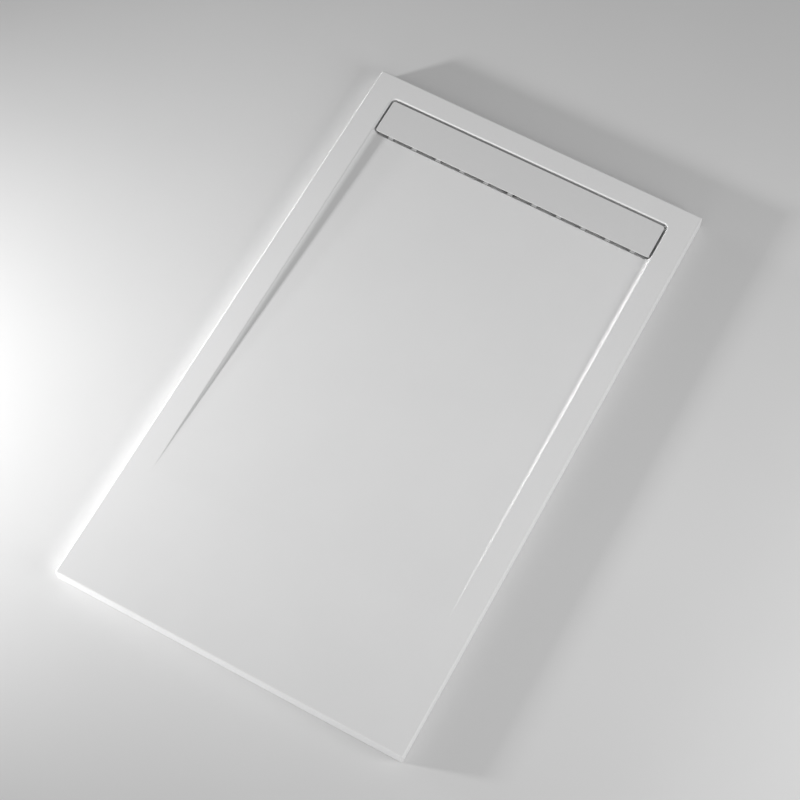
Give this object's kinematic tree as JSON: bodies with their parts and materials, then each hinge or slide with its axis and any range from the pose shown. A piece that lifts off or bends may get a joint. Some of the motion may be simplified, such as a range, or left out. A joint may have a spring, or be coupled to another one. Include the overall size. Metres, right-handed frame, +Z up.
{
  "type": "shower tray",
  "caption": "Flat slab shower tray with shallow side steps, a lift-off slotted drain cover at one end and a low water trap under it.",
  "frame": {"origin": "middle of the slab's flat underside", "axes": "+X across the tray to the right, +Y along it towards the drain, +Z up"},
  "size_m": [0.7, 1.2, 0.103],
  "materials": {
    "resin": "satin gel coat, near white",
    "cover_resin": "satin gel coat, near white",
    "pad_rubber": "soft grey",
    "strainer_plastic": "light grey",
    "trim_steel": "brushed",
    "insert_plastic": "white",
    "seal_rubber": "black",
    "trap_plastic": "white, slightly glossy",
    "tube_plastic": "mid grey",
    "ring_plastic": "off-white",
    "nut_plastic": "white"
  },
  "bodies": {
    "tray": {"tray_body": "resin", "flange_ring": "trim_steel", "waste_insert": "insert_plastic", "flange_washer": "seal_rubber", "trap_washer": "seal_rubber", "trap_lid": "trap_plastic", "trap_body": "trap_plastic", "outlet_spigot": "trap_plastic", "base_seal": "seal_rubber", "trap_base": "trap_plastic", "weir_ring": "trap_plastic", "outlet_seal": "seal_rubber"},
    "dip_tube": {"dip_tube": "tube_plastic", "dip_tube_seal": "seal_rubber"},
    "strainer": {"hair_strainer": "strainer_plastic"},
    "cover": {"drain_cover": "cover_resin", "cover_pads": "pad_rubber"},
    "slip_ring": {"outlet_slip_ring": "ring_plastic"},
    "nut": {"outlet_nut": "nut_plastic"}
  },
  "joints": [
    {"name": "dip_tube_lift", "type": "slide", "parent": "tray", "child": "dip_tube", "axis": [0, 0, 1], "range_m": [0, 0.1]},
    {"name": "strainer_lift", "type": "slide", "parent": "dip_tube", "child": "strainer", "axis": [0, 0, 1], "range_m": [0, 0.06]},
    {"name": "cover_lift", "type": "slide", "parent": "strainer", "child": "cover", "axis": [0, 0, 1], "range_m": [0, 0.12]},
    {"name": "slip_ring_slide", "type": "slide", "parent": "tray", "child": "slip_ring", "axis": [0, -1, 0], "range_m": [0, 0.009]},
    {"name": "nut_turn", "type": "hinge", "parent": "slip_ring", "child": "nut", "pos_m": [0, 0.43, -0.039], "axis": [0, -1, 0], "range_deg": [0, 1080]}
  ],
  "couplings": [
    {"joint": "slip_ring_slide", "follows": "nut_turn", "m_per_rad": 0.00047746}
  ]
}
